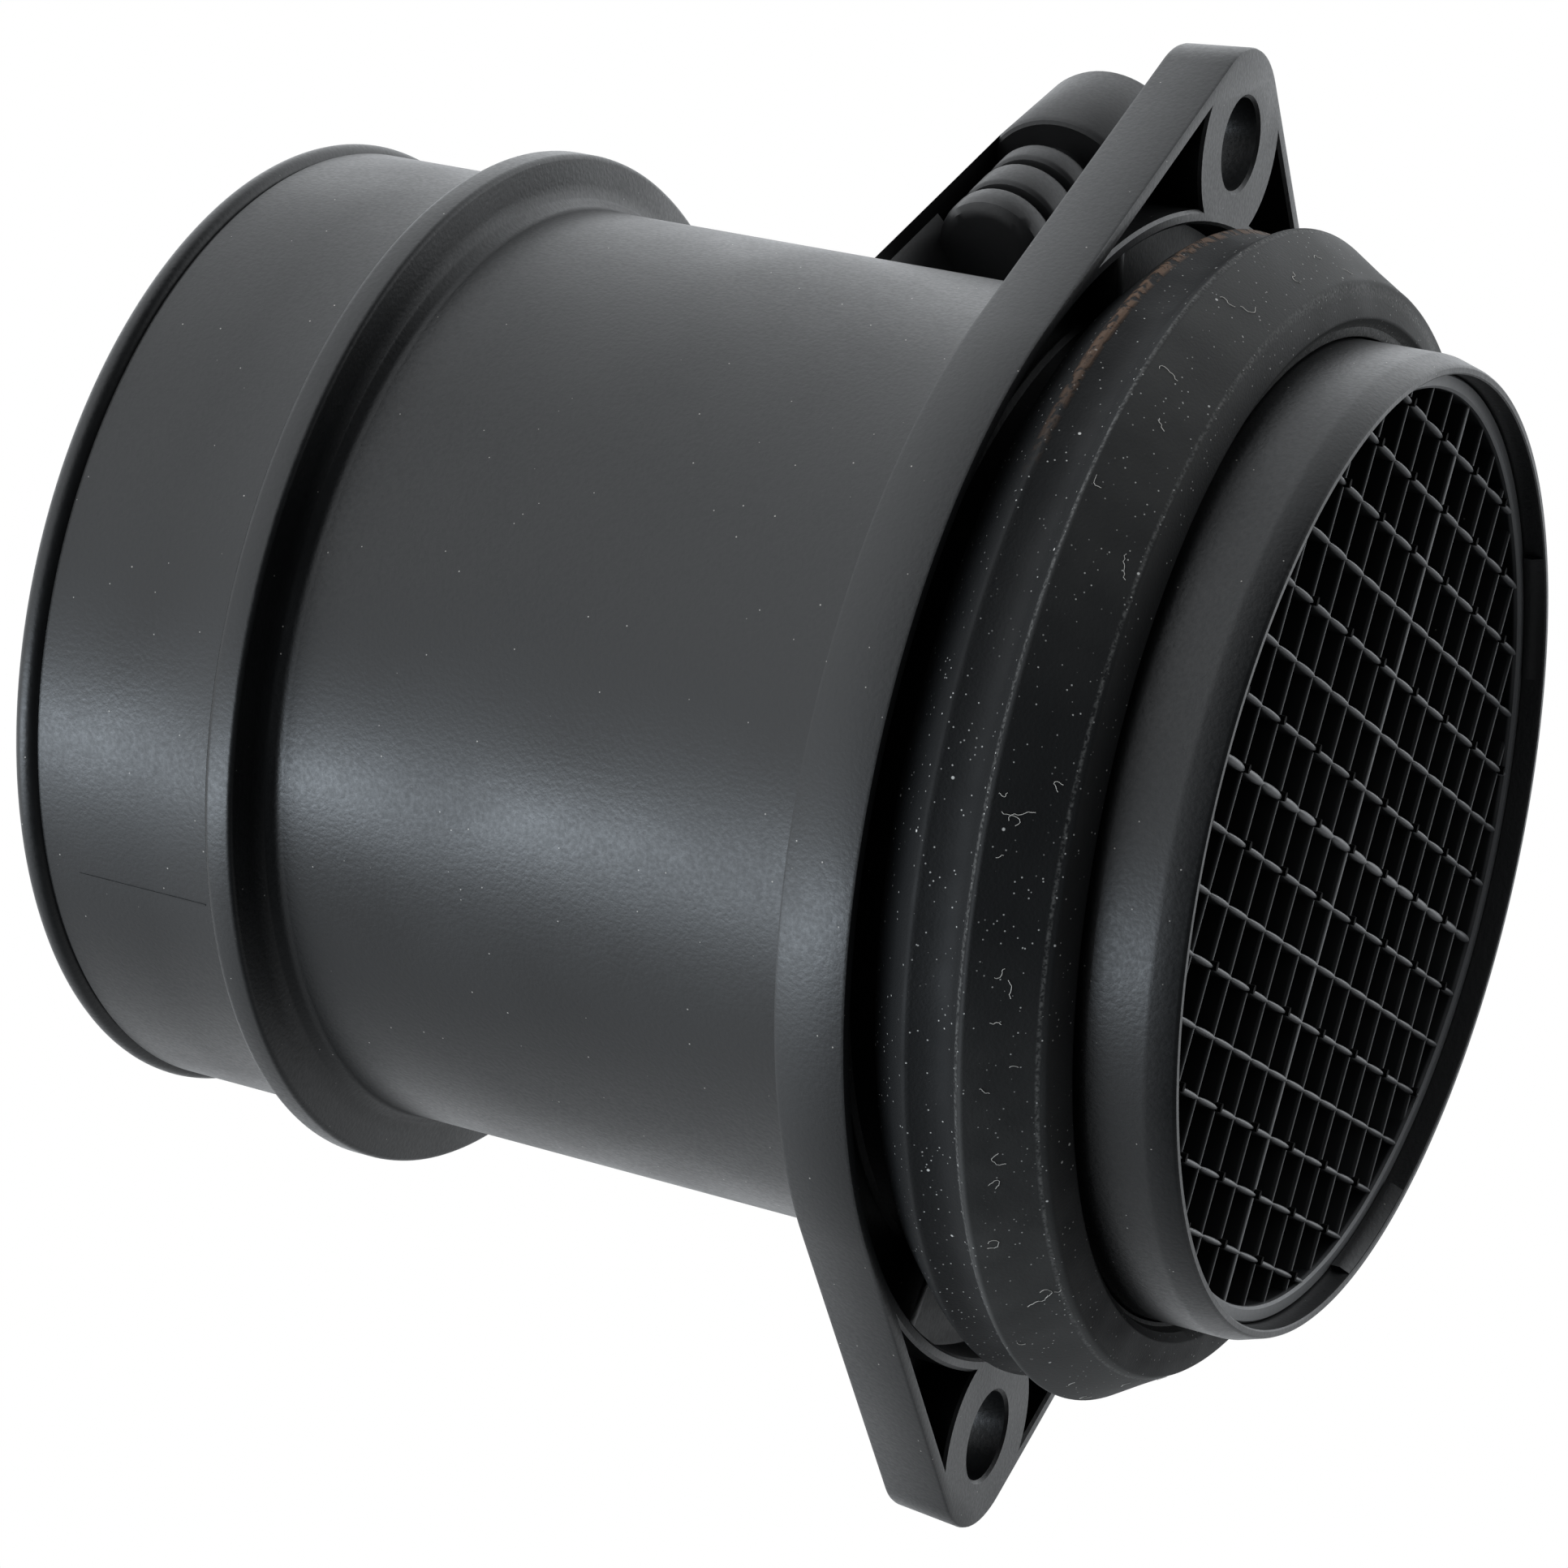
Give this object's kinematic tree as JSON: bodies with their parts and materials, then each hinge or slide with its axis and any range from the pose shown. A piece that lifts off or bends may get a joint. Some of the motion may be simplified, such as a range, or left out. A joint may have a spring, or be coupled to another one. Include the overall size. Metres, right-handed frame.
{
  "type": "mass airflow sensor",
  "caption": "Round moulded air duct with a cored two-ear flange, lattice inlet grid, rubber lip seal, stop ring and a plug-in sensor module with a ribbed socket.",
  "frame": {"origin": "on the duct's axis, in the front face of the mounting flange, midway between the two ear holes", "axes": "+X along the duct toward the inlet grid, against the airflow; +Z toward one ear hole; +Y the side that the sensor module is on"},
  "size_m": [0.0995, 0.0936, 0.1198],
  "materials": {
    "housing_plastic": "black glass-filled nylon, satin with a fine grain",
    "grid_plastic": "black nylon, satin, greyer on the bars",
    "seal_rubber": "black rubber, matt and dusty",
    "module_plastic": "black glass-filled nylon, satin",
    "cover_plastic": "black nylon, matt",
    "o_ring_rubber": "black rubber, satin",
    "plate_metal": "plain sheet",
    "board_laminate": "white substrate",
    "chip_resin": "black moulding resin",
    "capacitor_ceramic": "tan fired body",
    "gel_silicone": "clear soft filling",
    "element_film": "thin fired blade with a polished film",
    "bead_resin": "dark dipped bead",
    "pin_metal": "tinned flat pins",
    "screw_steel": "plated steel"
  },
  "bodies": {
    "root": {"tube_housing": "housing_plastic", "inlet_grid": "grid_plastic", "inlet_seal": "seal_rubber", "module_housing": "module_plastic", "electronics_cover": "cover_plastic", "bypass_cover": "cover_plastic", "module_o_ring": "o_ring_rubber", "base_plate": "plate_metal", "circuit_board": "board_laminate", "control_chip": "chip_resin", "capacitor_1": "capacitor_ceramic", "capacitor_2": "capacitor_ceramic", "electronics_gel": "gel_silicone", "sensor_element": "element_film", "temperature_sensor": "bead_resin", "terminal_1": "pin_metal", "terminal_2": "pin_metal", "terminal_3": "pin_metal", "terminal_4": "pin_metal", "terminal_5": "pin_metal", "module_screw_1": "screw_steel", "module_screw_2": "screw_steel"}
  },
  "joints": []
}
